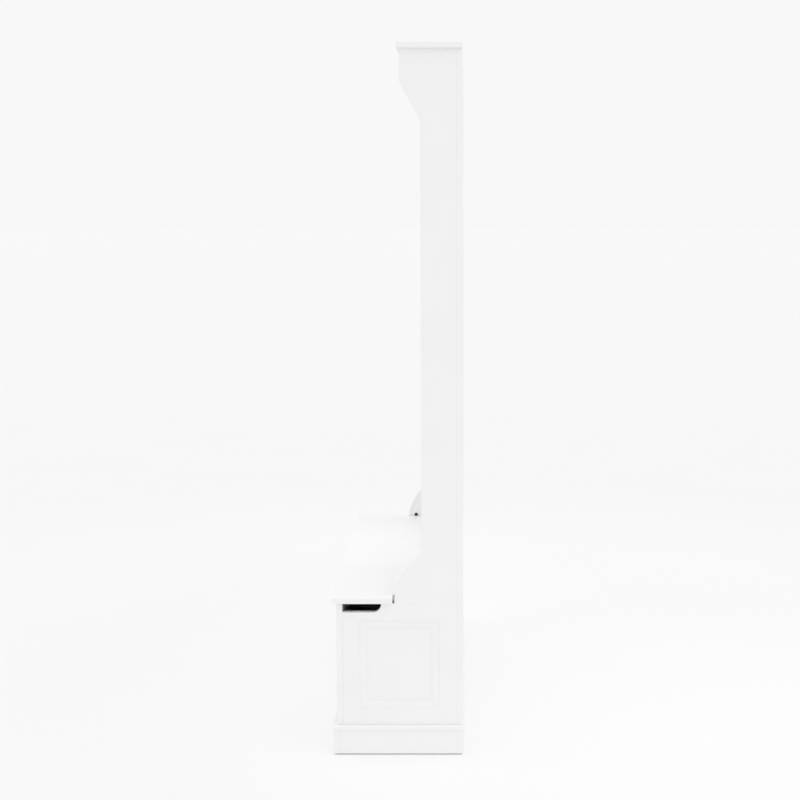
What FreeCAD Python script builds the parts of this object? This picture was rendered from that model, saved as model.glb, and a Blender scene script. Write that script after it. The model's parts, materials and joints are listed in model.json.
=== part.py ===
"""Hall tree: a storage bench with a hinged seat, two tall side panels, a panelled back and coat hooks.

Millimetres. X is the width, -Y is the front, +Z is up.
The origin is on the floor, at the middle of the base's length and depth.
"""
import FreeCAD
import Part
import math
import os

# ---------------------------------------------------------------- driving dimensions
WIDTH = 1000.0              # over the base, lid and cap
DEPTH = 347.0               # over the base
HEIGHT = 1860.0
BOARD = 16.0                # side, front, divider and back boards
SIDE_OVERHANG = 10.0        # of the base, lid and cap past the side panels

GLIDE_HEIGHT = 3.0
GLIDE_R = 7.8
GLIDE_EASE = 0.8
GLIDE_INSET = 30.0          # glide centres from the plinth's ends
PLINTH_TOP = 68.0
BASE_TOP = 80.0             # the base board forms a lip over the plinth
LIP = 2.6                   # base board's edge past the plinth faces
LIP_ROUND = 3.5
CORNER_BLOCK_LEG = 42.0
CORNER_BLOCK_FOOT = 8.0     # above the floor

FRONT_SETBACK = 11.0        # bench front behind the base's edge
BENCH_TOP = 408.0
LID_BOTTOM = 410.0
LID_THICKNESS = 18.0
LID_FRONT_SETBACK = 0.5
LID_ROUND = 5.0             # rounded upper edge of the lid's front and ends
LID_UNDER_ROUND = 1.5
TOE_Y = -9.3                # front of the tall side panels' feet
TOE_GAP = 5.0               # between those feet and the lid's wide front part
LID_SIDE_GAP = 1.5          # between the tall side panels and the lid's narrow rear part
STRIP_FRONT_Y = 109.5       # front edge of the fixed strip behind the lid
HINGE_GAP = 4.0             # between the lid and that strip

POST_FRONT_Y = 62.4         # front edge of the side panels' straight stretch
SCROLL_R = 145.0            # rounded foot of each side panel
SCROLL_Z = 412.0
CORBEL_FRONT_Y = 9.5        # front edge of the side panels under the cap
CORBEL_BOTTOM = 1660.0
CORBEL_ARC_TOP = 1770.0
CORBEL_ROUND = 50.0
CORBEL_ROUND_TURN = 32.0    # degrees
COVE_SAGITTA = 1.5
CAP_BOTTOM = 1844.0
CAP_FRONT_Y = 1.3
CAP_ROUND = 2.0

STILE = 45.0                # plain border round each recessed panel
RECESS_STEP = 1.2           # square step at the outer edge, and another at the sunken field
RECESS_DEPTH = 5.0
RECESS_BAND = 20.0          # width of the slope between the two steps
FRONT_PANELS = 3

NOTCH_REAR_Y = -44.5        # finger notch in the top edge of each bench side
NOTCH_BOTTOM = 385.0
NOTCH_ROUND = 20.0

HINGE_RAIL_HEIGHT = 60.0
DIVIDER_DROP = 0.5          # divider's top below the bench top
CLEAT = 20.0
BUMPER_R = 4.0
BUMPER_EASE = 0.5
BUMPER_PLAY = 0.1           # between a bumper and the closed lid
FRONT_BUMPER_X = 420.0
REAR_BUMPER_Y = -29.5
POST_WIDTH = 60.0           # back posts
SEAT_RAIL_BOTTOM = 388.0
SEAT_RAIL_TOP = 448.0
HOOK_RAIL_BOTTOM = 1440.0
HOOK_RAIL_TOP = 1540.0
TOP_RAIL_BOTTOM = 1764.0
HOOK_RAIL_ROUND = 3.0
PANEL_THICKNESS = 6.0
PANEL_FRONT_Y = 159.8
PANEL_TONGUE = 8.0
PLANKS = 10                 # planks marked by the grooves of each back panel
GROOVE_WIDTH = 3.2
GROOVE_DEPTH = 1.6

VALANCE_Y = 14.0            # front face of the board under the cap
VALANCE_BOTTOM = 1764.0
VALANCE_RISE = 26.0         # height of its arch
VALANCE_FOOT = 60.0         # straight stretch at each end of the arch

HOOK_XS = (-360.0, -180.0, 0.0, 180.0, 360.0)
HOOK_Z = 1492.0             # middle of each hook's back plate
PLATE_WIDTH = 22.0
PLATE_HEIGHT = 84.0
PLATE_THICKNESS = 3.5
PLATE_ROUND = 1.2
PRONG_R = 4.0
# prongs: start, corner, end and ball, each (forward of the plate's face, above its middle)
UPPER_PRONG = ((-2, 6), (40, -2), (56, 46), (57, 49))
UPPER_BEND_R = 20.0
UPPER_BALL_R = 7.0
LOWER_PRONG = ((-2, -10), (26, -27), (34, 2), (34.5, 4))
LOWER_BEND_R = 12.0
LOWER_BALL_R = 6.0

HINGE_XS = (-330.0, 0.0, 330.0)
HINGE_AXIS_Z = 426.0
HINGE_LENGTH = 60.0
LEAF_THICKNESS = 0.8
LEAF_BOTTOM = 411.7
KNUCKLE_R = 1.7
KNUCKLE_GAP = 0.3
KNUCKLE_RELIEF = 0.4        # between a leaf's plate and the other leaf's knuckles
PIN_R = 0.8
PIN_CLEARANCE = 0.05        # radial, in the lid's knuckle only
PIN_HEAD_R = 1.4
PIN_HEAD = 1.0

CAM_R = 6.0
CAM_DEPTH = 12.0
CAM_SLOT_REACH = 4.5
CAM_SLOT_DEPTH = 2.0
CAM_INSET = 24.0            # cam centre from the edge of its board
CAM_BOLT_R = 3.5
CAM_BOLT_START = 4.0        # the bolt's ends, from the cam's centre
CAM_BOLT_END = 34.0
SEAT_CAM_YS = (16.0, 125.0)
CAP_CAM_YS = (50.0, 125.0)
FRONT_CAM_ZS = (130.0, 340.0)

DOWEL_R = 3.0
DOWEL_HALF = 12.0
RAIL_DOWEL_ZS = (363.0, 393.0)
VALANCE_DOWEL_ZS = (1783.0, 1825.0)
SEAT_DOWEL_YS = (45.0, 80.0)
POST_DOWEL_ZS = (150.0, 320.0, 404.0, 432.0, 1458.0, 1522.0, 1782.0, 1828.0)

# screws: length, shank radius and head radius, then where they go
HOOK_SCREW = (16.0, 1.75, 3.6)
HOOK_SCREW_UPS = (-33.0, 31.0)              # from the plate's middle
HOOK_RAIL_SCREW = (27.0, 2.0, 4.0)
HOOK_RAIL_SCREW_XS = (-410.0, -270.0, -90.0, 90.0, 270.0, 410.0)
HOOK_RAIL_SCREW_Z = 1464.0
HINGE_SCREW = (16.0, 1.3, 2.1)
HINGE_SCREW_PITCH = 22.0
BACK_SCREW = (48.0, 2.0, 4.0)
BACK_SCREW_ZS = (140.0, 340.0, 470.0, 800.0, 1130.0, 1480.0, 1790.0)
BASE_SCREW = (42.0, 2.5, 4.5)
BASE_SCREW_SIDE_YS = (-100.0, 30.0, 130.0)
BASE_SCREW_FRONT_XS = (-400.0, -130.0, 130.0, 400.0)
BASE_SCREW_BACK_XS = (-300.0, 0.0, 300.0)
BASE_SCREW_DIVIDER_YS = (-90.0, 60.0)
CLEAT_SCREW = (30.0, 2.0, 4.0)
CLEAT_SCREW_Y = 134.0
SEAT_SCREW = (32.0, 2.0, 4.0)
SEAT_SCREW_Y = 146.0
SLOT_REACH = 0.6            # of a screw's head radius
SLOT_DEPTH = 0.4
SLOT_WIDTH = 0.36           # of the slot's reach

WALL_HOLE_R = 3.0
WALL_HOLE_SPACING = 800.0
WALL_HOLE_Z = 1804.0
EASE = 0.8                  # softened edge of the painted boards
SLIGHT_EASE = 0.4
OVERCUT = 1.0               # how far a cutter runs past the wood
NEAR = 1.0                  # reach of a test for the edges at a plane

# ---------------------------------------------------------------- derived places
Y_FRONT = -DEPTH / 2
Y_BACK = DEPTH / 2
X_OUT = WIDTH / 2 - SIDE_OVERHANG           # outer faces of the side panels
X_IN = X_OUT - BOARD                        # inner faces of the side panels
X_MID = X_OUT - BOARD / 2
X_PLINTH = WIDTH / 2 - LIP
PLINTH_Y = DEPTH / 2 - LIP
BACK_REAR = Y_BACK - LIP - 0.1
BACK_FRONT = BACK_REAR - BOARD
BACK_MID = BACK_REAR - BOARD / 2
FRONT_FACE = Y_FRONT + FRONT_SETBACK
FRONT_BACK = FRONT_FACE + BOARD
FRONT_MID = FRONT_FACE + BOARD / 2
LID_FRONT = Y_FRONT + LID_FRONT_SETBACK
LID_NOTCH_Y = TOE_Y - TOE_GAP
LID_REAR = STRIP_FRONT_Y - HINGE_GAP
LID_TOP = LID_BOTTOM + LID_THICKNESS
STRIP_TOP = BENCH_TOP + LID_THICKNESS
HINGE_Y = STRIP_FRONT_Y - HINGE_GAP / 2
RAIL_BOTTOM = BENCH_TOP - HINGE_RAIL_HEIGHT
RAIL_BACK_Y = STRIP_FRONT_Y + BOARD
POST_IN = X_OUT - POST_WIDTH                # inner edges of the back posts
HOOK_RAIL_FRONT = BACK_FRONT - BOARD
SIDES = (-1, 1)

V = FreeCAD.Vector
parts = {}


# ---------------------------------------------------------------- helpers
def block(x0, x1, y0, y1, z0, z1):
    """A box between three pairs of planes, each pair in either order."""
    low = V(min(x0, x1), min(y0, y1), min(z0, z1))
    return Part.makeBox(abs(x1 - x0), abs(y1 - y0), abs(z1 - z0), low)


def eased(shape, radius=EASE):
    """The same solid with every edge slightly rounded."""
    return shape.makeFillet(radius, shape.Edges)


def edges_where(shape, test):
    """The edges whose every corner passes the test."""
    return [e for e in shape.Edges if all(test(v.Point) for v in e.Vertexes)]


def rod(start, end, radius):
    """A round bar between two points."""
    axis = end - start
    return Part.makeCylinder(radius, axis.Length, start, axis)


def outline_yz(start, steps):
    """A closed wire in the YZ plane. A step is a corner, or an arc's middle point and end."""
    edges = []
    here = start
    for step in steps + [start]:
        if isinstance(step[0], float):
            edges.append(Part.LineSegment(V(0, *here), V(0, *step)).toShape())
            here = step
        else:
            middle, end = step
            edges.append(Part.Arc(V(0, *here), V(0, *middle), V(0, *end)).toShape())
            here = end
    return Part.Wire(edges)


def board_from(wire, x0, x1):
    """A board cut to a YZ outline, between two X planes."""
    face = Part.Face(wire)
    face.translate(V(min(x0, x1), 0, 0))
    return face.extrude(V(abs(x1 - x0), 0, 0))


def add(name, *solids):
    """Files solids under a node name."""
    parts.setdefault(name, []).extend(solids)


def bore(names, cutters):
    """Cuts every solid of the named nodes wherever a cutter reaches it."""
    for name in names:
        for i, solid in enumerate(parts[name]):
            for cutter in cutters:
                if solid.BoundBox.intersect(cutter.BoundBox):
                    solid = solid.cut(cutter)
            parts[name][i] = solid


def screw_blank(head, way, length, shank_r, head_r):
    """A countersunk screw without its drive. head is the middle of its flat face."""
    cone_height = head_r - shank_r
    cone = Part.makeCone(head_r, shank_r, cone_height, head, way)
    return cone.fuse(Part.makeCylinder(shank_r, length, head, way)).removeSplitter()


def cross_slot(head, way, reach, depth):
    """The cross-shaped drive of a screw or cam, as a cutter."""
    width = reach * SLOT_WIDTH
    slot = Part.makeBox(2 * reach, width, depth, V(-reach, -width / 2, 0))
    other = Part.makeBox(width, 2 * reach, depth, V(-width / 2, -reach, 0))
    cross = slot.fuse(other)
    cross.Placement = FreeCAD.Placement(head, FreeCAD.Rotation(V(0, 0, 1), way))
    return cross


def drive_screws(node, boards, heads, way, size):
    """Countersunk screws at each head point, with their holes in the boards."""
    length, shank_r, head_r = size
    blanks = [screw_blank(head, way, length, shank_r, head_r) for head in heads]
    bore(boards, blanks)
    for head, blank in zip(heads, blanks):
        add(node, blank.cut(cross_slot(head, way, head_r * SLOT_REACH, head_r * SLOT_DEPTH)))


def recess_cutter(centre, across, up, inward, width, height):
    """A recessed panel's waste: a small step, a slope, and a second step to the sunken field."""
    def rectangle(inset, depth):
        middle = centre + inward * depth
        half_w = across * (width / 2 - inset)
        half_h = up * (height / 2 - inset)
        corners = [middle + half_w * sx + half_h * sz for sx, sz in ((-1, -1), (1, -1), (1, 1), (-1, 1))]
        return Part.makePolygon(corners + corners[:1])

    slope_end = RECESS_DEPTH - RECESS_STEP
    step = Part.Face(rectangle(0, 0)).extrude(inward * RECESS_STEP)
    slope = Part.makeLoft([rectangle(0, RECESS_STEP), rectangle(RECESS_BAND, slope_end)], True, True)
    field = Part.Face(rectangle(RECESS_BAND, slope_end)).extrude(inward * RECESS_STEP)
    return step.fuse([slope, field])


# ---------------------------------------------------------------- base
def make_base():
    """Plinth of butted boards, the lipped base board on it, and glides under it."""
    x_inner = X_PLINTH - BOARD
    y_inner = PLINTH_Y - BOARD
    low, high = GLIDE_HEIGHT, PLINTH_TOP
    add("plinth_front", eased(block(-X_PLINTH, X_PLINTH, -PLINTH_Y, -y_inner, low, high)))
    add("plinth_back", eased(block(-X_PLINTH, X_PLINTH, y_inner, PLINTH_Y, low, high)))
    for sign, side in zip(SIDES, ("left", "right")):
        add("plinth_" + side, eased(block(sign * x_inner, sign * X_PLINTH, -y_inner, y_inner, low, high)))
    add("plinth_middle_bearer", block(-BOARD / 2, BOARD / 2, -y_inner, y_inner, low, high))

    base = block(-WIDTH / 2, WIDTH / 2, Y_FRONT, Y_BACK, PLINTH_TOP, BASE_TOP)
    rim = edges_where(base, lambda p: p.z > BASE_TOP - NEAR)
    add("base_board", base.makeFillet(LIP_ROUND, rim))

    leg = CORNER_BLOCK_LEG
    rise = V(0, 0, PLINTH_TOP - CORNER_BLOCK_FOOT)
    for sx in SIDES:
        for sy in SIDES:
            corner = V(sx * x_inner, sy * y_inner, CORNER_BLOCK_FOOT)
            ends = [corner, corner - V(sx * leg, 0, 0), corner - V(0, sy * leg, 0), corner]
            add("corner_blocks", Part.Face(Part.makePolygon(ends)).extrude(rise))

    y_line = PLINTH_Y - BOARD / 2
    for sx in (-1, 0, 1):
        for sy in SIDES:
            centre = V(sx * (X_PLINTH - GLIDE_INSET), sy * y_line, 0)
            disc = Part.makeCylinder(GLIDE_R, GLIDE_HEIGHT, centre)
            add("floor_glides", disc.makeChamfer(GLIDE_EASE, edges_where(disc, lambda p: p.z < NEAR)))


# ---------------------------------------------------------------- bench
def notch_cutter(sign):
    """The waste of the finger notch in a side's top edge, open behind the front board."""
    front_y = FRONT_BACK - OVERCUT
    over = BENCH_TOP + OVERCUT
    centre_y = NOTCH_REAR_Y - NOTCH_ROUND
    centre_z = NOTCH_BOTTOM + NOTCH_ROUND
    bend = NOTCH_ROUND * math.sqrt(0.5)
    wire = outline_yz((front_y, over), [
        (front_y, NOTCH_BOTTOM),
        (centre_y, NOTCH_BOTTOM),
        ((centre_y + bend, centre_z - bend), (NOTCH_REAR_Y, centre_z)),
        (NOTCH_REAR_Y, over),
    ])
    return board_from(wire, sign * (X_IN - OVERCUT), sign * (X_OUT + OVERCUT))


def make_bench_boards():
    """The two sides and the front, with their recessed panels, and the divider."""
    panel_h = BENCH_TOP - BASE_TOP - 2 * STILE
    middle_z = (BENCH_TOP + BASE_TOP) / 2
    panel_w = BACK_FRONT - FRONT_BACK - 2 * STILE
    middle_y = (BACK_FRONT + FRONT_BACK) / 2
    for sign, side in zip(SIDES, ("left", "right")):
        board = block(sign * X_IN, sign * X_OUT, FRONT_BACK, BACK_FRONT, BASE_TOP, BENCH_TOP)
        face = V(sign * X_OUT, middle_y, middle_z)
        recess = recess_cutter(face, V(0, 1, 0), V(0, 0, 1), V(-sign, 0, 0), panel_w, panel_h)
        add("bench_side_" + side, eased(board, SLIGHT_EASE).cut([recess, notch_cutter(sign)]))

    front = eased(block(-X_OUT, X_OUT, FRONT_FACE, FRONT_BACK, BASE_TOP, BENCH_TOP))
    pitch = (2 * X_OUT - STILE) / FRONT_PANELS
    for i in range(FRONT_PANELS):
        face = V((i - (FRONT_PANELS - 1) / 2) * pitch, FRONT_FACE, middle_z)
        front = front.cut(recess_cutter(face, V(1, 0, 0), V(0, 0, 1), V(0, 1, 0), pitch - STILE, panel_h))
    add("bench_front", front)

    divider = block(-BOARD / 2, BOARD / 2, FRONT_BACK, BACK_FRONT, BASE_TOP, BENCH_TOP - DIVIDER_DROP)
    add("bench_divider", divider.cut(hinge_rail()))


def hinge_rail():
    """The rail across the box that carries the fixed strip and the hinges."""
    return block(-X_IN, X_IN, STRIP_FRONT_Y, RAIL_BACK_Y, RAIL_BOTTOM, BENCH_TOP)


def make_seat_support():
    """What the seat hinges on and rests on: rail, fixed strip, its end cleats and the bumpers."""
    add("hinge_rail", hinge_rail())
    strip = block(-X_IN, X_IN, STRIP_FRONT_Y, BACK_FRONT, BENCH_TOP, STRIP_TOP)
    nose = edges_where(strip, lambda p: p.y < STRIP_FRONT_Y + NEAR and p.z > STRIP_TOP - NEAR)
    add("rear_seat_strip", strip.makeFillet(EASE, nose))
    for sign in SIDES:
        add("seat_cleats", block(sign * (X_IN - CLEAT), sign * X_IN, RAIL_BACK_Y, BACK_FRONT,
                                 BENCH_TOP - CLEAT, BENCH_TOP))
        for x, y in ((FRONT_BUMPER_X, FRONT_MID), (X_MID, REAR_BUMPER_Y)):
            height = LID_BOTTOM - BENCH_TOP - BUMPER_PLAY
            pad = Part.makeCylinder(BUMPER_R, height, V(sign * x, y, BENCH_TOP))
            rim = edges_where(pad, lambda p: p.z > BENCH_TOP + NEAR)
            add("lid_bumpers", pad.makeChamfer(BUMPER_EASE, rim))


def make_lid():
    """The hinged seat: a wide front part and a narrow part that passes between the tall sides."""
    wide = WIDTH / 2
    narrow = X_IN - LID_SIDE_GAP
    half = [(wide, LID_FRONT), (wide, LID_NOTCH_Y), (narrow, LID_NOTCH_Y), (narrow, LID_REAR)]
    corners = [V(x, y, LID_BOTTOM) for x, y in half] + [V(-x, y, LID_BOTTOM) for x, y in reversed(half)]
    lid = Part.Face(Part.makePolygon(corners + corners[:1])).extrude(V(0, 0, LID_THICKNESS))

    def front_and_ends(edges):
        return [e for e in edges if e.CenterOfMass.y < LID_NOTCH_Y - NEAR]

    nosing = front_and_ends(edges_where(lid, lambda p: p.z > LID_TOP - NEAR))
    lid = lid.makeFillet(LID_ROUND, nosing)
    under = front_and_ends(edges_where(lid, lambda p: p.z < LID_BOTTOM + 0.01))
    add("lid", lid.makeFillet(LID_UNDER_ROUND, under))


# ---------------------------------------------------------------- tall sides, back and cap
def side_outline():
    """The tall side panel's outline: scrolled foot, straight post and corbel under the cap."""
    centre_y = TOE_Y + SCROLL_R
    top = math.acos((centre_y - POST_FRONT_Y) / SCROLL_R)

    def on_scroll(angle):
        return (centre_y - SCROLL_R * math.cos(angle), SCROLL_Z + SCROLL_R * math.sin(angle))

    turn = math.radians(CORBEL_ROUND_TURN)

    def on_corbel(angle):
        return (CORBEL_FRONT_Y + CORBEL_ROUND * (1 - math.cos(angle)),
                CORBEL_ARC_TOP - CORBEL_ROUND * math.sin(angle))

    cove_top = on_corbel(turn)
    run_y = POST_FRONT_Y - cove_top[0]
    run_z = CORBEL_BOTTOM - cove_top[1]
    run = math.hypot(run_y, run_z)
    cove_middle = ((cove_top[0] + POST_FRONT_Y) / 2 - COVE_SAGITTA * run_z / run,
                   (cove_top[1] + CORBEL_BOTTOM) / 2 + COVE_SAGITTA * run_y / run)
    return outline_yz((BACK_FRONT, BENCH_TOP), [
        (TOE_Y, BENCH_TOP),
        (TOE_Y, SCROLL_Z),
        (on_scroll(top / 2), on_scroll(top)),
        (POST_FRONT_Y, CORBEL_BOTTOM),
        (cove_middle, cove_top),
        (on_corbel(turn / 2), on_corbel(0.0)),
        (CORBEL_FRONT_Y, CAP_BOTTOM),
        (BACK_FRONT, CAP_BOTTOM),
    ])


def make_tall_sides():
    """One full board each side, from the bench top to the cap."""
    for sign, side in zip(SIDES, ("left", "right")):
        add("hutch_side_" + side, board_from(side_outline(), sign * X_IN, sign * X_OUT))


def plank_groove(x, low, high):
    """The waste of one V groove in a back panel's front face."""
    corners = [V(x - GROOVE_WIDTH / 2, PANEL_FRONT_Y, low),
               V(x + GROOVE_WIDTH / 2, PANEL_FRONT_Y, low),
               V(x, PANEL_FRONT_Y + GROOVE_DEPTH, low)]
    return Part.Face(Part.makePolygon(corners + corners[:1])).extrude(V(0, 0, high - low))


def make_back():
    """Posts and rails of the back frame, and the thin planked panels in their grooves."""
    for sign, side in zip(SIDES, ("left", "right")):
        post = block(sign * POST_IN, sign * X_OUT, BACK_FRONT, BACK_REAR, BASE_TOP, CAP_BOTTOM)
        add("back_post_" + side, eased(post, SLIGHT_EASE))
    spans = {
        "bench_back": (BASE_TOP, SEAT_RAIL_BOTTOM),
        "back_seat_rail": (SEAT_RAIL_BOTTOM, SEAT_RAIL_TOP),
        "back_hook_rail": (HOOK_RAIL_BOTTOM, HOOK_RAIL_TOP),
        "back_top_rail": (TOP_RAIL_BOTTOM, CAP_BOTTOM),
    }
    for name, (low, high) in spans.items():
        add(name, block(-POST_IN, POST_IN, BACK_FRONT, BACK_REAR, low, high))

    frame = ["back_post_left", "back_post_right", *spans]
    panels = {
        "back_panel_lower": (SEAT_RAIL_TOP, HOOK_RAIL_BOTTOM),
        "back_panel_upper": (HOOK_RAIL_TOP, TOP_RAIL_BOTTOM),
    }
    pitch = 2 * POST_IN / PLANKS
    for name, (low, high) in panels.items():
        panel = block(-POST_IN - PANEL_TONGUE, POST_IN + PANEL_TONGUE, PANEL_FRONT_Y,
                      PANEL_FRONT_Y + PANEL_THICKNESS, low - PANEL_TONGUE, high + PANEL_TONGUE)
        bore(frame, [panel])
        for i in range(1, PLANKS):
            panel = panel.cut(plank_groove(-POST_IN + i * pitch, low, high))
        add(name, panel)

    for sign in SIDES:
        x = sign * WALL_HOLE_SPACING / 2
        ends = [V(x, BACK_FRONT - OVERCUT, WALL_HOLE_Z), V(x, BACK_REAR + OVERCUT, WALL_HOLE_Z)]
        bore(["back_top_rail"], [rod(*ends, WALL_HOLE_R)])


def make_crown():
    """The cap, and the arched valance under its front edge."""
    cap = block(-WIDTH / 2, WIDTH / 2, CAP_FRONT_Y, BACK_REAR, CAP_BOTTOM, HEIGHT)
    add("cap", eased(cap, CAP_ROUND))
    valance = block(-X_IN, X_IN, VALANCE_Y, VALANCE_Y + BOARD, VALANCE_BOTTOM, CAP_BOTTOM)
    reach = X_IN - VALANCE_FOOT
    front_y = VALANCE_Y - OVERCUT
    left, right = V(-reach, front_y, VALANCE_BOTTOM), V(reach, front_y, VALANCE_BOTTOM)
    crest = V(0, front_y, VALANCE_BOTTOM + VALANCE_RISE)
    arch = Part.Wire([Part.Arc(left, crest, right).toShape(), Part.LineSegment(right, left).toShape()])
    add("valance", valance.cut(Part.Face(arch).extrude(V(0, BOARD + 2 * OVERCUT, 0))))


# ---------------------------------------------------------------- hooks
def bent_bar(start, corner, end, bend_r, radius):
    """A round bar that runs straight, turns once and runs straight again."""
    to_start = (start - corner).normalize()
    to_end = (end - corner).normalize()
    half = to_start.getAngle(to_end) / 2
    setback = bend_r / math.tan(half)
    enter = corner + to_start * setback
    leave = corner + to_end * setback
    middle = corner + (to_start + to_end).normalize() * (bend_r / math.sin(half) - bend_r)
    path = Part.Wire([Part.LineSegment(start, enter).toShape(),
                      Part.Arc(enter, middle, leave).toShape(),
                      Part.LineSegment(leave, end).toShape()])
    section = Part.Wire([Part.makeCircle(radius, start, corner - start)])
    return path.makePipeShell([section], True, True)


def make_hook(x):
    """A cast double hook: long upper prong, short lower prong, each with a ball end."""
    rear = HOOK_RAIL_FRONT
    face = rear - PLATE_THICKNESS
    half = PLATE_WIDTH / 2
    straight = PLATE_HEIGHT / 2 - half
    hook = block(x - half, x + half, face, rear, HOOK_Z - straight, HOOK_Z + straight)
    for sign in SIDES:
        centre = V(x, rear, HOOK_Z + sign * straight)
        hook = hook.fuse(Part.makeCylinder(half, PLATE_THICKNESS, centre, V(0, -1, 0)))
    hook = hook.removeSplitter()
    hook = hook.makeFillet(PLATE_ROUND, edges_where(hook, lambda p: p.y < face + 0.01))

    prongs = ((UPPER_PRONG, UPPER_BEND_R, UPPER_BALL_R), (LOWER_PRONG, LOWER_BEND_R, LOWER_BALL_R))
    for places, bend_r, ball_r in prongs:
        start, corner, end, ball = [V(x, face - forward, HOOK_Z + up) for forward, up in places]
        hook = hook.fuse([bent_bar(start, corner, end, bend_r, PRONG_R), Part.makeSphere(ball_r, ball)])
    # the slanting prongs' roots reach just through the plate, so its rear is cut flat
    behind = block(x - half, x + half, rear, rear + PRONG_R, HOOK_Z - straight, HOOK_Z + straight)
    return hook.cut(behind).removeSplitter()


def make_hooks():
    """The rail across the back and a row of hooks screwed to it."""
    rail = block(-X_IN, X_IN, HOOK_RAIL_FRONT, BACK_FRONT, HOOK_RAIL_BOTTOM, HOOK_RAIL_TOP)
    front_edges = edges_where(rail, lambda p: p.y < HOOK_RAIL_FRONT + NEAR)
    long_edges = [e for e in front_edges if e.Length > X_IN]
    add("hook_rail", rail.makeFillet(HOOK_RAIL_ROUND, long_edges))
    plate_face = HOOK_RAIL_FRONT - PLATE_THICKNESS
    for number, x in enumerate(HOOK_XS, 1):
        node = f"coat_hook_{number}"
        add(node, make_hook(x))
        heads = [V(x, plate_face, HOOK_Z + up) for up in HOOK_SCREW_UPS]
        drive_screws("hook_screws", [node, "hook_rail"], heads, V(0, 1, 0), HOOK_SCREW)
    heads = [V(x, BACK_REAR, HOOK_RAIL_SCREW_Z) for x in HOOK_RAIL_SCREW_XS]
    drive_screws("hook_rail_screws", ["back_hook_rail", "hook_rail"], heads, V(0, -1, 0), HOOK_RAIL_SCREW)


# ---------------------------------------------------------------- hinges
def make_hinges():
    """Three butt hinges in the gap behind the lid, a leaf on each board's edge."""
    middle = HINGE_LENGTH / 6
    outer_low = HINGE_AXIS_Z - KNUCKLE_R - KNUCKLE_RELIEF
    rear_leaf_y = (STRIP_FRONT_Y - LEAF_THICKNESS, STRIP_FRONT_Y)
    lid_leaf_y = (LID_REAR, LID_REAR + LEAF_THICKNESS)
    for x in HINGE_XS:
        def along(a, b, r):
            return rod(V(x + a, HINGE_Y, HINGE_AXIS_Z), V(x + b, HINGE_Y, HINGE_AXIS_Z), r)

        half = HINGE_LENGTH / 2
        ends = [(-half, -middle - KNUCKLE_GAP), (middle + KNUCKLE_GAP, half)]
        lid_leaf = block(x - half, x + half, *lid_leaf_y, LEAF_BOTTOM, outer_low)
        lid_leaf = lid_leaf.fuse([block(x - middle, x + middle, *lid_leaf_y, outer_low, HINGE_AXIS_Z),
                                  along(-middle, middle, KNUCKLE_R)])
        lid_leaf = lid_leaf.cut(along(-half, half, PIN_R + PIN_CLEARANCE)).removeSplitter()
        add("hinge_leaf_lid", lid_leaf)

        rear_leaf = block(x - half, x + half, *rear_leaf_y, LEAF_BOTTOM, outer_low)
        for a, b in ends:
            rear_leaf = rear_leaf.fuse([block(x + a, x + b, *rear_leaf_y, outer_low, HINGE_AXIS_Z),
                                        along(a, b, KNUCKLE_R)])
        pin = along(-half, half, PIN_R).fuse([along(-half - PIN_HEAD, -half, PIN_HEAD_R),
                                              along(half, half + PIN_HEAD, PIN_HEAD_R)]).removeSplitter()
        add("hinge_leaf_rear", rear_leaf.cut(pin).removeSplitter())
        add("hinge_pins", pin)

    xs = [x + step * HINGE_SCREW_PITCH for x in HINGE_XS for step in (-1, 0, 1)]
    z = (LEAF_BOTTOM + outer_low) / 2
    drive_screws("hinge_screws_lid", ["hinge_leaf_lid", "lid"],
                 [V(x, lid_leaf_y[1], z) for x in xs], V(0, -1, 0), HINGE_SCREW)
    drive_screws("hinge_screws_rear", ["hinge_leaf_rear", "rear_seat_strip"],
                 [V(x, rear_leaf_y[0], z) for x in xs], V(0, 1, 0), HINGE_SCREW)


# ---------------------------------------------------------------- joinery
def make_cams():
    """Cam locks in the side boards' inner faces, and the steel bolts that they grip."""
    boards = ["hutch_side_left", "hutch_side_right", "bench_side_left", "bench_side_right", "cap",
              "bench_front"]
    for sign in SIDES:
        stations = [(V(sign * X_IN, y, BENCH_TOP + CAM_INSET), V(0, 0, -1)) for y in SEAT_CAM_YS]
        stations += [(V(sign * X_IN, y, CAP_BOTTOM - CAM_INSET), V(0, 0, 1)) for y in CAP_CAM_YS]
        stations += [(V(sign * X_IN, FRONT_BACK + CAM_INSET, z), V(0, -1, 0)) for z in FRONT_CAM_ZS]
        outward = V(sign, 0, 0)
        for centre, to_edge in stations:
            cam = Part.makeCylinder(CAM_R, CAM_DEPTH, centre, outward)
            heart = centre + outward * (BOARD / 2)
            bolt = rod(heart + to_edge * CAM_BOLT_START, heart + to_edge * CAM_BOLT_END, CAM_BOLT_R)
            bore(boards, [cam, bolt])
            add("cam_locks", cam.cut([bolt, cross_slot(centre, outward, CAM_SLOT_REACH, CAM_SLOT_DEPTH)]))
            add("cam_bolts", bolt)


def make_dowels():
    """Wood dowels in the butt joints of rails, valance and tall sides."""
    joints = []
    for sign in SIDES:
        across = V(sign, 0, 0)
        joints += [(V(sign * X_IN, STRIP_FRONT_Y + BOARD / 2, z), across) for z in RAIL_DOWEL_ZS]
        joints += [(V(sign * X_IN, VALANCE_Y + BOARD / 2, z), across) for z in VALANCE_DOWEL_ZS]
        joints += [(V(sign * POST_IN, BACK_MID, z), across) for z in POST_DOWEL_ZS]
        joints += [(V(sign * X_MID, y, BENCH_TOP), V(0, 0, 1)) for y in SEAT_DOWEL_YS]
    boards = [name for name in parts if name.startswith(("hutch_side", "bench_side", "bench_back", "back_"))]
    boards += ["hinge_rail", "valance"]
    for place, way in joints:
        dowel = rod(place - way * DOWEL_HALF, place + way * DOWEL_HALF, DOWEL_R)
        bore(boards, [dowel])
        add("wood_dowels", dowel)


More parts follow.
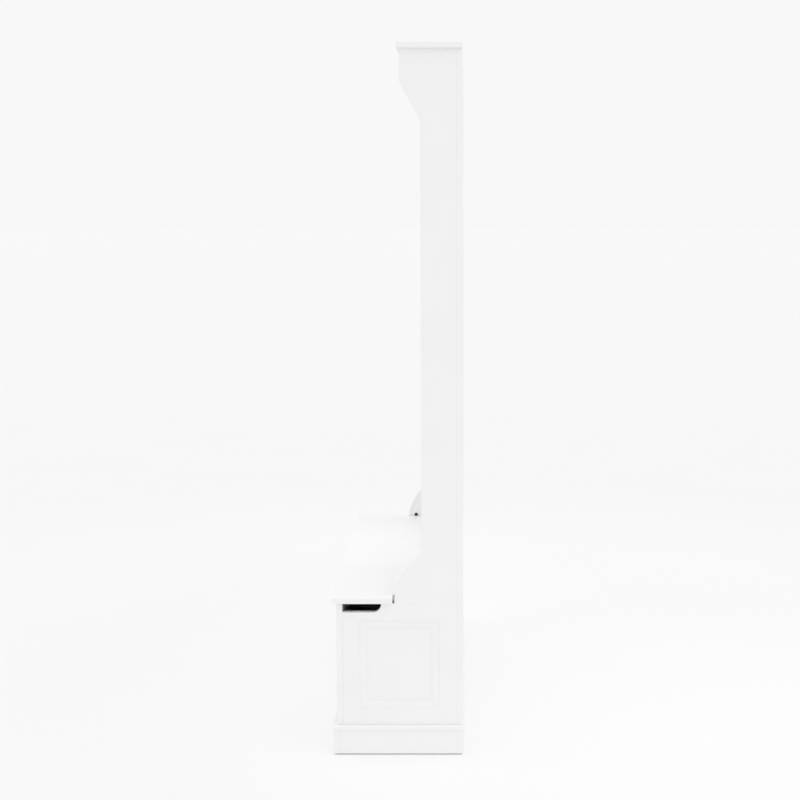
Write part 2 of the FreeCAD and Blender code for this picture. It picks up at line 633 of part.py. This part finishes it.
def make_screws():
    """Screws through the back posts, up through the base board, and in the seat cleats."""
    bench_sides = ["bench_side_left", "bench_side_right"]
    heads = [V(sign * X_MID, BACK_REAR, z) for sign in SIDES for z in BACK_SCREW_ZS]
    boards = ["back_post_left", "back_post_right", "hutch_side_left", "hutch_side_right", *bench_sides]
    drive_screws("back_screws", boards, heads, V(0, -1, 0), BACK_SCREW)

    heads = [V(sign * X_MID, y, PLINTH_TOP) for sign in SIDES for y in BASE_SCREW_SIDE_YS]
    heads += [V(x, FRONT_MID, PLINTH_TOP) for x in BASE_SCREW_FRONT_XS]
    heads += [V(x, BACK_MID, PLINTH_TOP) for x in BASE_SCREW_BACK_XS]
    heads += [V(0, y, PLINTH_TOP) for y in BASE_SCREW_DIVIDER_YS]
    boards = ["base_board", "bench_front", "bench_back", "bench_divider", *bench_sides]
    drive_screws("base_screws", boards, heads, V(0, 0, 1), BASE_SCREW)

    for sign in SIDES:
        head = V(sign * (X_IN - CLEAT), CLEAT_SCREW_Y, BENCH_TOP - CLEAT / 2)
        drive_screws("cleat_screws", ["seat_cleats", *bench_sides], [head], V(sign, 0, 0), CLEAT_SCREW)
        head = V(sign * (X_IN - CLEAT / 2), SEAT_SCREW_Y, BENCH_TOP - CLEAT)
        drive_screws("seat_strip_screws", ["seat_cleats", "rear_seat_strip"], [head], V(0, 0, 1), SEAT_SCREW)


def export():
    """Writes each node to its own STEP file."""
    os.makedirs("parts", exist_ok=True)
    for name, solids in parts.items():
        shape = solids[0] if len(solids) == 1 else Part.makeCompound(solids)
        shape.exportStep(f"parts/{name}.step")
        print(f"{name}: {len(solids)} solid(s), valid {shape.isValid()}, {shape.Volume / 1000:.1f} cm3")
        for solid in solids:
            if len(solid.Solids) != 1:
                print(f"  warning: {name} has a piece of {len(solid.Solids)} solids")


make_base()
make_bench_boards()
make_seat_support()
make_lid()
make_tall_sides()
make_back()
make_crown()
make_hooks()
make_hinges()
make_cams()
make_dowels()
make_screws()
export()
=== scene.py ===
"""Looks of the hall tree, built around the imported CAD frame. Metres, -Y is the front, +Z is up."""
import bmesh
import bpy
import json
import math
from mathutils import Matrix, Vector, geometry


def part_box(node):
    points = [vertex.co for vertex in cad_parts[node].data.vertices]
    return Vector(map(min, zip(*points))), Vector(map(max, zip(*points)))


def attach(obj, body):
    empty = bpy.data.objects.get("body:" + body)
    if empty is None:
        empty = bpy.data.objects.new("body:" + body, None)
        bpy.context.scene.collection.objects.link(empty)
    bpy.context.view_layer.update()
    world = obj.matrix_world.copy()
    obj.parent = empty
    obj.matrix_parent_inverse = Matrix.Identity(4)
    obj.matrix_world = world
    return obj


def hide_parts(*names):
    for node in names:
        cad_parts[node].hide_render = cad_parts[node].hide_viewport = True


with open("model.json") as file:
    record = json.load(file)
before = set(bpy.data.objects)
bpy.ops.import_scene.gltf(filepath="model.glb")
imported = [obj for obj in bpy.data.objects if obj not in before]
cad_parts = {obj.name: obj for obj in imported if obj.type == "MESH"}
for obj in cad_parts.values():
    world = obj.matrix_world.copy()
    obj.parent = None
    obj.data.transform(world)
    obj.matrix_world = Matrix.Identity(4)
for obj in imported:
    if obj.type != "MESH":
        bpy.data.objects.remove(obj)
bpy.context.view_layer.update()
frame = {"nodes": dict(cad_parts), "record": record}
bodies = frame["record"]["behaviour"]["bodies"]
body_of_node = {node: body for body, nodes in bodies.items() for node in nodes}
slot_of_node = {s["node"]: s["material_slot"] for s in frame["record"]["subparts"]}

MM = 0.001
SQUARE_TURN = math.pi / 2

# camera: square on to the side panel, behind the middle of its depth, tilted down a little
CAMERA_FROM_SIDE = 3.710        # distance to the side panel's outer face
CAMERA_BEHIND_MIDDLE = 0.1769
CAMERA_HEIGHT = 1.4752
CAMERA_TILT = math.radians(6.18)
CAMERA_LENS = 65.16
CAMERA_SHIFT = (-0.0815, -0.06)

# clean-up and rounding of the CAD nodes' meshes
WELD = 0.02 * MM
FLAT_ANGLE = math.radians(0.6)  # faces that meet at less than this are one flat face
SHARP_ANGLE = math.radians(34)
PAINT_EDGE = 1.1 * MM           # rounding of the painted boards' edges
METAL_EDGE = 0.15 * MM

# coat hooks
PLATE_HALF_WIDTH = 11.0 * MM
PLATE_HALF_HEIGHT = 42.0 * MM
PLATE_THICKNESS = 3.5 * MM
SCREW_PROUD = 0.3 * MM          # the screw heads stand this far above the plate
# the plate's rounded rim, from its rear to its face: (millimetres in from the outline, part of the height)
RIM = ((0.0, 0.45), (0.35, 0.75), (1.1, 0.93), (2.0, 1.0), (2.7, 0.93), (3.3, 0.93))
RIM_FOOT = 0.4 * MM             # the plate starts this far behind its rear, where it is cut flat later
RIM_POINTS = 64
BOSS_CENTRE = (0.0, 1.0 * MM, -3.0 * MM)
BOSS_RADII = (8.5 * MM, 5.0 * MM, 17.0 * MM)
# prongs, in millimetres: points are (forward of the plate's face, above its middle)
UPPER_PRONG = {"route": ((-2, 4), (20, -6), (52, -12), (57, 43)), "root_radius": 5.2, "end_radius": 3.1,
               "ball": (57, 49), "ball_radius": 7.0}
LOWER_PRONG = {"route": ((-2, -8), (12, -24), (34, -38), (34.5, 0)), "root_radius": 4.8, "end_radius": 2.9,
               "ball": (34.5, 4.5), "ball_radius": 6.0}
PRONG_SECTIONS = 44
PRONG_SIDES = 24
PRONG_TAPER = 1.25              # the end radius is reached at 1 / 1.25 of the length
COLLAR_AT = 0.86                # of the length
COLLAR_SPREAD = 0.022
COLLAR_RISE = 1.5
BALL_SQUASH = 0.92
BALL_SEGMENTS = (32, 24)
CASTING_VOXEL = 0.6 * MM
CASTING_SMOOTHING = 5           # rounds of smoothing, which fillet the joints
CASTING_KEPT_FACES = 0.4

# studio
SKY_STRENGTH = 0.938
FLOOR_RADIUS = 60.0
FLOOR_GLOW = 0.525
FLOOR_GLOW_BRIGHT = 0.56        # painted pool of light, behind the object and to its right
FLOOR_GLOW_FAR = 0.500          # as dark as the surround
PAINTED_CONTACT_SHADOW_GLOW = 0.10         # painted contact shadow: the glow in the gap under the plinth
# centre of the painted pool of light on the floor
PAINTED_LIGHT_POOL_CENTRE = (0.6, 1.0, 0.0)
SUN_TOWARDS = (0.35, 0.45, 1.0)
SUN_STRENGTH = 0.42
SUN_SPREAD = math.radians(55)
SEAT_LIGHT_AT = (0.26, -0.5, 2.3)
SEAT_LIGHT_AIM = (-0.12, -0.06)
SEAT_LIGHT_SIZE = 0.4
SEAT_LIGHT_POWER = 0.56
SEAT_LIGHT_SPREAD = math.radians(50)


# ---------------------------------------------------------------- material helpers
def grey(level):
    return (level, level, level)


class Nodes:
    """Builds a node material a line at a time."""

    def __init__(self, name):
        self.material = bpy.data.materials.new(name)
        self.material.use_nodes = True
        self.tree = self.material.node_tree
        self.shader = self.tree.nodes["Principled BSDF"]

    def feed(self, socket, value):
        """Gives a socket a constant, or a link from another node."""
        if isinstance(value, bpy.types.NodeSocket):
            self.tree.links.new(value, socket)
        elif isinstance(value, tuple) and socket.type == "RGBA":
            socket.default_value = (*value, 1.0)
        else:
            socket.default_value = value

    def add(self, kind, **inputs):
        node = self.tree.nodes.new(kind)
        for key, value in inputs.items():
            self.feed(node.inputs[key.replace("_", " ")], value)
        return node

    def set(self, **inputs):
        """Sets the shader's own sockets."""
        for key, value in inputs.items():
            self.feed(self.shader.inputs[key.replace("_", " ")], value)

    def place(self, stretch=(1, 1, 1)):
        """Object coordinates in metres, stretched."""
        coords = self.tree.nodes.new("ShaderNodeTexCoord").outputs["Object"]
        return self.add("ShaderNodeMapping", Vector=coords, Scale=stretch).outputs["Vector"]

    def noise(self, vector, scale, detail, roughness=0.5):
        return self.add("ShaderNodeTexNoise", Vector=vector, Scale=scale, Detail=detail,
                        Roughness=roughness).outputs["Fac"]

    def ramp(self, factor, span, result=(0.0, 1.0)):
        """Maps a span of the factor to a span of results, clamped."""
        return self.add("ShaderNodeMapRange", Value=factor, From_Min=span[0], From_Max=span[1],
                        To_Min=result[0], To_Max=result[1]).outputs["Result"]

    def math(self, operation, a, b):
        node = self.tree.nodes.new("ShaderNodeMath")
        node.operation = operation
        self.feed(node.inputs[0], a)
        self.feed(node.inputs[1], b)
        return node.outputs["Value"]

    def vector_math(self, operation, a, b):
        """For the operations that give a number."""
        node = self.tree.nodes.new("ShaderNodeVectorMath")
        node.operation = operation
        self.feed(node.inputs[0], a)
        self.feed(node.inputs[1], b)
        return node.outputs["Value"]

    def mix(self, factor, a, b):
        """Mixes two colours."""
        node = self.tree.nodes.new("ShaderNodeMix")
        node.data_type = "RGBA"
        for index, value in ((0, factor), (6, a), (7, b)):
            self.feed(node.inputs[index], value)
        return node.outputs[2]

    def bump(self, height, strength, distance, normal=None):
        node = self.add("ShaderNodeBump", Height=height, Strength=strength, Distance=distance)
        if normal:
            self.feed(node.inputs["Normal"], normal)
        return node.outputs["Normal"]

    def crevice(self, reach, span):
        """0 in the open, 1 deep in a crevice or gap, by ambient occlusion; the materials use it for painted
        shade. span is the openness at which it starts and is full.
        """
        node = self.add("ShaderNodeAmbientOcclusion", Distance=reach)
        node.samples = 8
        return self.ramp(node.outputs["AO"], span)

    def edge_mask(self, radius):
        """1 along edges, 0 on flat faces."""
        rounded = self.add("ShaderNodeBevel", Radius=radius).outputs["Normal"]
        flat = self.tree.nodes.new("ShaderNodeNewGeometry").outputs["Normal"]
        return self.ramp(self.vector_math("DOT_PRODUCT", rounded, flat), (0.99, 0.86))


# ---------------------------------------------------------------- materials
def white_paint():
    """Satin white lacquer on fibreboard: fine orange peel, slow waviness, creamier edges, and painted shade
    that darkens the joints.
    """
    m = Nodes("white_paint")
    where = m.place()
    cloud = m.ramp(m.noise(where, scale=7.0, detail=3.0), (0.3, 0.7))
    face = m.mix(cloud, (0.885, 0.885, 0.882), (0.900, 0.900, 0.897))
    speck = m.ramp(m.noise(where, scale=900.0, detail=1.0), (0.72, 0.8))
    face = m.mix(m.math("MULTIPLY", speck, 0.18), face, (0.80, 0.79, 0.77))
    edge = m.math("MULTIPLY", m.edge_mask(1.6 * MM), 0.30)
    face = m.mix(edge, face, (0.84, 0.83, 0.81))
    # painted shade: the colour darkens where ambient occlusion finds joints, gaps or the undersides of lips
    painted_joint_shade = m.math("MULTIPLY", m.crevice(3.0 * MM, (0.66, 0.20)), 0.36)
    m.set(Base_Color=m.mix(painted_joint_shade, face, (0.50, 0.49, 0.47)))
    rough = m.ramp(m.noise(where, scale=38.0, detail=4.0, roughness=0.6), (0.25, 0.75), (0.36, 0.50))
    m.set(Roughness=m.math("ADD", rough, m.math("MULTIPLY", edge, 0.3)))
    slow = m.bump(m.noise(where, scale=16.0, detail=2.0), strength=0.25, distance=0.35 * MM)
    fine = m.noise(where, scale=420.0, detail=2.0)
    m.set(Normal=m.bump(fine, strength=0.10, distance=0.10 * MM, normal=slow))
    m.set(Specular_IOR_Level=0.42, Coat_Weight=0.12, Coat_Roughness=0.30)
    return m.material


def raw_wood():
    """Bare sanded pine: growth rings stretched along the grain, fine pores."""
    m = Nodes("raw_wood")
    where = m.place((1.0, 1.0, 0.12))
    warp = m.noise(where, scale=9.0, detail=3.0)
    ring = m.add("ShaderNodeTexWave", Vector=where, Scale=38.0, Distortion=6.0, Detail=3.0).outputs["Fac"]
    tone = m.mix(m.ramp(ring, (0.2, 0.9)), (0.62, 0.46, 0.28), (0.44, 0.29, 0.15))
    m.set(Base_Color=m.mix(m.ramp(warp, (0.3, 0.8), (0.0, 0.5)), tone, (0.68, 0.53, 0.35)))
    m.set(Roughness=m.ramp(m.noise(where, scale=260.0, detail=3.0), (0.2, 0.8), (0.58, 0.78)))
    m.set(Normal=m.bump(m.noise(where, scale=700.0, detail=3.0), strength=0.3, distance=0.15 * MM))
    return m.material


def hook_bronze():
    """Oil-rubbed bronze finish on a casting: dark, with a warm rub along the edges."""
    m = Nodes("hook_bronze")
    where = m.place()
    mottle = m.ramp(m.noise(where, scale=90.0, detail=5.0, roughness=0.65), (0.35, 0.7))
    dark = m.mix(mottle, (0.022, 0.017, 0.014), (0.050, 0.036, 0.027))
    worn = m.ramp(m.noise(where, scale=210.0, detail=3.0), (0.4, 0.65))
    rub = m.math("MULTIPLY", m.edge_mask(1.2 * MM), worn)
    m.set(Base_Color=m.mix(m.math("MULTIPLY", rub, 0.7), dark, (0.20, 0.115, 0.062)))
    m.set(Roughness=m.ramp(m.noise(where, scale=140.0, detail=4.0), (0.3, 0.7), (0.34, 0.50)))
    m.set(Normal=m.bump(m.noise(where, scale=520.0, detail=4.0), strength=0.22, distance=0.12 * MM))
    m.set(Metallic=0.85)
    return m.material


def zinc_steel():
    """Zinc-plated steel: drawn lines, faint blue and yellow passivation."""
    m = Nodes("zinc_steel")
    lines = m.noise(m.place((6.0, 1.0, 90.0)), scale=60.0, detail=3.0)
    tint = m.ramp(m.noise(m.place(), scale=60.0, detail=3.0), (0.35, 0.65))
    m.set(Base_Color=m.mix(tint, (0.56, 0.57, 0.60), (0.66, 0.64, 0.57)))
    m.set(Roughness=m.ramp(lines, (0.3, 0.7), (0.22, 0.42)))
    m.set(Normal=m.bump(lines, strength=0.12, distance=0.05 * MM))
    m.set(Metallic=1.0)
    return m.material


def cam_zinc():
    """Dark zinc die casting with a grainy skin."""
    m = Nodes("cam_zinc")
    where = m.place()
    grain = m.noise(where, scale=900.0, detail=3.0)
    tone = m.ramp(m.noise(where, scale=160.0, detail=3.0), (0.3, 0.7))
    m.set(Base_Color=m.mix(tone, (0.055, 0.055, 0.06), (0.10, 0.10, 0.105)))
    m.set(Roughness=m.ramp(grain, (0.3, 0.7), (0.42, 0.6)))
    m.set(Normal=m.bump(grain, strength=0.25, distance=0.1 * MM))
    m.set(Metallic=0.8)
    return m.material


def bumper_rubber():
    """Milky silicone bumpers, a little dusty."""
    m = Nodes("bumper_rubber")
    dust = m.ramp(m.noise(m.place(), scale=500.0, detail=4.0), (0.45, 0.7))
    m.set(Base_Color=m.mix(dust, (0.70, 0.70, 0.68), (0.56, 0.55, 0.52)))
    m.set(Roughness=m.ramp(dust, (0.0, 1.0), (0.35, 0.62)))
    m.set(Subsurface_Weight=0.25, Subsurface_Scale=2 * MM)
    return m.material


def glide_plastic():
    """Moulded nylon glides, scuffed."""
    m = Nodes("glide_plastic")
    scuff = m.ramp(m.noise(m.place((8.0, 1.0, 1.0)), scale=120.0, detail=4.0), (0.5, 0.7))
    m.set(Base_Color=m.mix(scuff, (0.62, 0.62, 0.60), (0.47, 0.46, 0.44)))
    m.set(Roughness=m.ramp(scuff, (0.0, 1.0), (0.4, 0.66)))
    m.set(Normal=m.bump(m.noise(m.place(), scale=800.0, detail=3.0), strength=0.2, distance=0.08 * MM))
    return m.material


def floor_paper():
    """Pale glowing paper, with a painted pool of light where it glows brighter, darker far away, and a
    painted contact shadow that dims the glow under the plinth.
    """
    m = Nodes("floor_paper")
    where = m.place()
    cloud = m.noise(where, scale=1.3, detail=2.0)
    m.set(Base_Color=m.mix(cloud, grey(0.395), grey(0.405)))
    m.set(Roughness=0.9, Specular_IOR_Level=0.1, Emission_Strength=1.0)
    # painted pool of light: the glow rises towards its centre
    painted_light_pool = m.ramp(m.vector_math("DISTANCE", where, PAINTED_LIGHT_POOL_CENTRE), (1.5, 0.3))
    glow = m.mix(painted_light_pool, grey(FLOOR_GLOW), grey(FLOOR_GLOW_BRIGHT))
    far = m.ramp(m.vector_math("DISTANCE", where, (0.0, 0.0, 0.0)), (1.9, 3.2))
    glow = m.mix(far, glow, grey(FLOOR_GLOW_FAR))
    # painted contact shadow: the glow dims where ambient occlusion finds the plinth close above the floor
    m.set(Emission_Color=m.mix(m.crevice(30 * MM, (0.42, 0.15)), glow, grey(PAINTED_CONTACT_SHADOW_GLOW)))
    return m.material


# ---------------------------------------------------------------- pieces
def in_scene(obj):
    bpy.context.scene.collection.objects.link(obj)
    return obj


def stands_for(piece, node):
    """Files a new piece in place of a CAD node."""
    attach(piece, body_of_node[node])
    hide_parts(node)


def edge_width(node):
    """How far a node's edges are rounded. The slots of screw heads are too fine for it."""
    if node.endswith("_screws"):
        return 0.0
    return PAINT_EDGE if slot_of_node[node] == "white_paint" else METAL_EDGE


def softened(node, material, width):
    """The node's own shape, with clean faces and rounded edges."""
    mesh = frame["nodes"][node].data.copy()
    piece = in_scene(bpy.data.objects.new("vis_" + node, mesh))
    bm = bmesh.new()
    bm.from_mesh(mesh)
    bmesh.ops.remove_doubles(bm, verts=bm.verts, dist=WELD)
    bmesh.ops.dissolve_limit(bm, angle_limit=FLAT_ANGLE, verts=bm.verts, edges=bm.edges)
    for face in bm.faces:
        face.smooth = True
    for edge in bm.edges:
        # the bevel finds its edges by angle, and unrounded edges are shaded sharp
        edge.smooth = bool(width) or len(edge.link_faces) != 2 or edge.calc_face_angle(0.0) <= SHARP_ANGLE
    bm.to_mesh(mesh)
    bm.free()
    mesh.materials.clear()
    mesh.materials.append(material)
    if "custom_normal" in mesh.attributes:
        mesh.attributes.remove(mesh.attributes["custom_normal"])
    if width:
        bevel = piece.modifiers.new("soft_edges", "BEVEL")
        bevel.width = width
        bevel.segments = 3
        bevel.limit_method = "ANGLE"
        bevel.angle_limit = SHARP_ANGLE
        bevel.harden_normals = True
        bevel.use_clamp_overlap = True
    stands_for(piece, node)


def smooth_object(name, bm, material):
    """A new smooth-shaded object from a bmesh."""
    mesh = bpy.data.meshes.new(name)
    for face in bm.faces:
        face.smooth = True
    bm.to_mesh(mesh)
    bm.free()
    mesh.materials.append(material)
    return in_scene(bpy.data.objects.new(name, mesh))


# ---------------------------------------------------------------- coat hooks: the plate's face is at y = 0
def bridge(bm, rings):
    """Skins a stack of rings and closes both ends."""
    for low, high in zip(rings, rings[1:]):
        count = len(low)
        for k in range(count):
            bm.faces.new((low[k], low[(k + 1) % count], high[(k + 1) % count], high[k]))
    bm.faces.new(list(reversed(rings[0])))
    bm.faces.new(rings[-1])


def circle_turns(count):
    return [2 * math.pi * k / count for k in range(count)]


def tube(bm, centres, radii):
    """A closed tube of round sections. Its centres lie in the YZ plane."""
    across = Vector((1, 0, 0))
    rings = []
    for i, (centre, radius) in enumerate(zip(centres, radii)):
        along = (centres[min(i + 1, len(centres) - 1)] - centres[max(i - 1, 0)]).normalized()
        up = across.cross(along)
        rings.append([bm.verts.new(centre + radius * (math.cos(t) * across + math.sin(t) * up))
                      for t in circle_turns(PRONG_SIDES)])
    bridge(bm, rings)


def ball(bm, matrix, radius=1.0):
    around, up = BALL_SEGMENTS
    bmesh.ops.create_uvsphere(bm, u_segments=around, v_segments=up, radius=radius, matrix=matrix)


def hook_point(forward, up):
    """A point of the hook, from millimetres forward of the plate's face and above its middle."""
    return Vector((0, -forward * MM, up * MM))


def prong(bm, shape):
    """A tapered prong along a Bezier curve, with a collar below its ball."""
    centres = geometry.interpolate_bezier(*[hook_point(*p) for p in shape["route"]], PRONG_SECTIONS)
    root, end = shape["root_radius"], shape["end_radius"]
    radii = []
    for i in range(PRONG_SECTIONS):
        t = i / (PRONG_SECTIONS - 1)
        collar = COLLAR_RISE * math.exp(-((t - COLLAR_AT) / COLLAR_SPREAD) ** 2)
        radii.append((root + (end - root) * min(1.0, t * PRONG_TAPER) + collar) * MM)
    tube(bm, centres, radii)
    centre = Matrix.Translation(hook_point(*shape["ball"]))
    ball(bm, centre @ Matrix.Diagonal((1, 1, BALL_SQUASH, 1)), shape["ball_radius"] * MM)


def back_plate(bm):
    """A long plate with half-round ends, a rolled rim and a low swelling behind the prongs."""
    straight = PLATE_HALF_HEIGHT - PLATE_HALF_WIDTH
    top = PLATE_THICKNESS - SCREW_PROUD
    rings = []
    for inset, height in [(0.0, -RIM_FOOT)] + [(inset * MM, part * top) for inset, part in RIM]:
        radius = PLATE_HALF_WIDTH - inset
        ring = []
        for t in circle_turns(RIM_POINTS):
            side = straight if math.sin(t) >= 0 else -straight
            place = (radius * math.cos(t), PLATE_THICKNESS - height, radius * math.sin(t) + side)
            ring.append(bm.verts.new(place))
        rings.append(ring)
    bridge(bm, rings)
    ball(bm, Matrix.Translation(BOSS_CENTRE) @ Matrix.Diagonal((*BOSS_RADII, 1)))


def flatten_rear(mesh):
    """Cuts off what reaches through the plate's rear, and closes the cut."""
    bm = bmesh.new()
    bm.from_mesh(mesh)
    everything = [*bm.verts, *bm.edges, *bm.faces]
    cut = bmesh.ops.bisect_plane(bm, geom=everything, plane_co=(0, PLATE_THICKNESS, 0), plane_no=(0, 1, 0),
                                 clear_outer=True)
    rim = [e for e in cut["geom_cut"] if isinstance(e, bmesh.types.BMEdge)]
    bmesh.ops.holes_fill(bm, edges=rim, sides=0)
    for edge in rim:
        edge.smooth = False
    bm.to_mesh(mesh)
    bm.free()


def cast_hook_mesh(material):
    """One double hook, its members grown together as in a casting."""
    bm = bmesh.new()
    back_plate(bm)
    prong(bm, UPPER_PRONG)
    prong(bm, LOWER_PRONG)
    bmesh.ops.recalc_face_normals(bm, faces=bm.faces)
    piece = smooth_object("hook_casting", bm, material)
    grow = piece.modifiers.new("grow_together", "REMESH")
    grow.mode = "VOXEL"
    grow.voxel_size = CASTING_VOXEL
    grow.use_smooth_shade = True
    blend = piece.modifiers.new("blend", "SMOOTH")
    blend.factor = 0.5
    blend.iterations = CASTING_SMOOTHING
    thin = piece.modifiers.new("thin_out", "DECIMATE")
    thin.ratio = CASTING_KEPT_FACES
    evaluated = piece.evaluated_get(bpy.context.evaluated_depsgraph_get())
    mesh = bpy.data.meshes.new_from_object(evaluated)
    bpy.data.objects.remove(piece)
    flatten_rear(mesh)
    mesh.name = "cast_hook"
    return mesh


def make_hooks(material):
    """The same casting at each CAD hook's place."""
    mesh = cast_hook_mesh(material)
    for node in sorted(n for n in frame["nodes"] if n.startswith("coat_hook_")):
        low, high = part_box(node)
        piece = in_scene(bpy.data.objects.new("cast_" + node, mesh))
        piece.location = ((low.x + high.x) / 2, high.y - PLATE_THICKNESS, low.z + PLATE_HALF_HEIGHT)
        stands_for(piece, node)


# ---------------------------------------------------------------- studio
def make_camera():
    data = bpy.data.cameras.new("camera")
    data.lens = CAMERA_LENS
    data.shift_x, data.shift_y = CAMERA_SHIFT
    camera = in_scene(bpy.data.objects.new("camera", data))
    side_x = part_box("hutch_side_right")[1].x
    camera.location = (side_x + CAMERA_FROM_SIDE, CAMERA_BEHIND_MIDDLE, CAMERA_HEIGHT)
    camera.rotation_euler = (SQUARE_TURN - CAMERA_TILT, 0, SQUARE_TURN)
    bpy.context.scene.camera = camera


def facing(direction):
    """The turn of a light that stands in this direction from what it lights."""
    return Vector(direction).to_track_quat("Z", "Y").to_euler()


def make_sun():
    """Even light from a wide part of the sky, above and behind."""
    data = bpy.data.lights.new("overhead", "SUN")
    data.energy = SUN_STRENGTH
    data.angle = SUN_SPREAD
    in_scene(bpy.data.objects.new("overhead", data)).rotation_euler = facing(SUN_TOWARDS)


def make_seat_light():
    """A square softbox over the seat. It is narrower than the cabinet, so it misses the outer sides."""
    data = bpy.data.lights.new("seat_light", "AREA")
    data.energy = SEAT_LIGHT_POWER
    data.size = SEAT_LIGHT_SIZE
    data.spread = SEAT_LIGHT_SPREAD
    light = in_scene(bpy.data.objects.new("seat_light", data))
    light.location = SEAT_LIGHT_AT
    aim = (*SEAT_LIGHT_AIM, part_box("lid")[1].z)
    light.rotation_euler = facing(Vector(SEAT_LIGHT_AT) - Vector(aim))
    light.visible_camera = False


def make_studio():
    """A pale glowing floor that meets a pale surround, lit softly from above."""
    bm = bmesh.new()
    bmesh.ops.create_circle(bm, cap_ends=True, segments=96, radius=FLOOR_RADIUS)
    smooth_object("floor", bm, floor_paper())

    world = bpy.data.worlds.new("studio")
    bpy.context.scene.world = world
    world.use_nodes = True
    sky = world.node_tree.nodes["Background"]
    sky.inputs["Color"].default_value = (*grey(1.0), 1.0)
    sky.inputs["Strength"].default_value = SKY_STRENGTH

    make_sun()
    make_seat_light()


def set_view():
    view = bpy.context.scene.view_settings
    view.view_transform = "Standard"
    view.look = "None"
    view.exposure = 0.0
    view.gamma = 1.0


# ---------------------------------------------------------------- assembly
MATERIALS = {
    "white_paint": white_paint(),
    "raw_wood": raw_wood(),
    "hook_bronze": hook_bronze(),
    "steel": zinc_steel(),
    "cam_zinc": cam_zinc(),
    "bumper_rubber": bumper_rubber(),
    "glide_plastic": glide_plastic(),
}

for node in sorted(frame["nodes"]):
    if not node.startswith("coat_hook_"):
        softened(node, MATERIALS[slot_of_node[node]], edge_width(node))

make_hooks(MATERIALS["hook_bronze"])
make_studio()
make_camera()
set_view()
